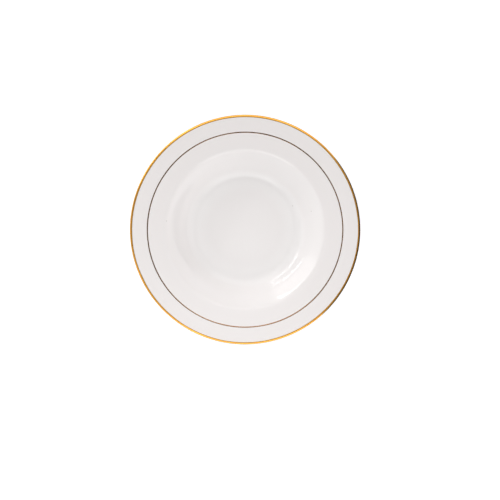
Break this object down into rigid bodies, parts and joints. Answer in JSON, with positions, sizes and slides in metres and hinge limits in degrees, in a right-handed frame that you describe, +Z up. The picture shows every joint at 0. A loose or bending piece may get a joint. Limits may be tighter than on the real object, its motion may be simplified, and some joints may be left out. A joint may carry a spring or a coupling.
{
  "type": "serving bowl",
  "caption": "Shallow round porcelain serving bowl with a wide sloping rim, a deep well, a foot ring, a gold edge and a fine gold line on the rim.",
  "frame": {"origin": "centre of the foot ring, in the plane that the bowl stands on", "axes": "+Z up along the bowl's axis of revolution, out of the well; +X and +Y lie level in any direction, because the bowl is round"},
  "size_m": [0.2304, 0.2304, 0.0377],
  "materials": {
    "porcelain": "matt unglazed hard-paste porcelain",
    "glaze": "clear gloss glaze over white porcelain",
    "gold": "bright fired gold"
  },
  "bodies": {
    "root": {"porcelain_body": "porcelain", "glaze_coat": "glaze", "foot_recess_glaze": "glaze", "gold_edge_band": "gold", "gold_inner_line": "gold"}
  },
  "joints": []
}
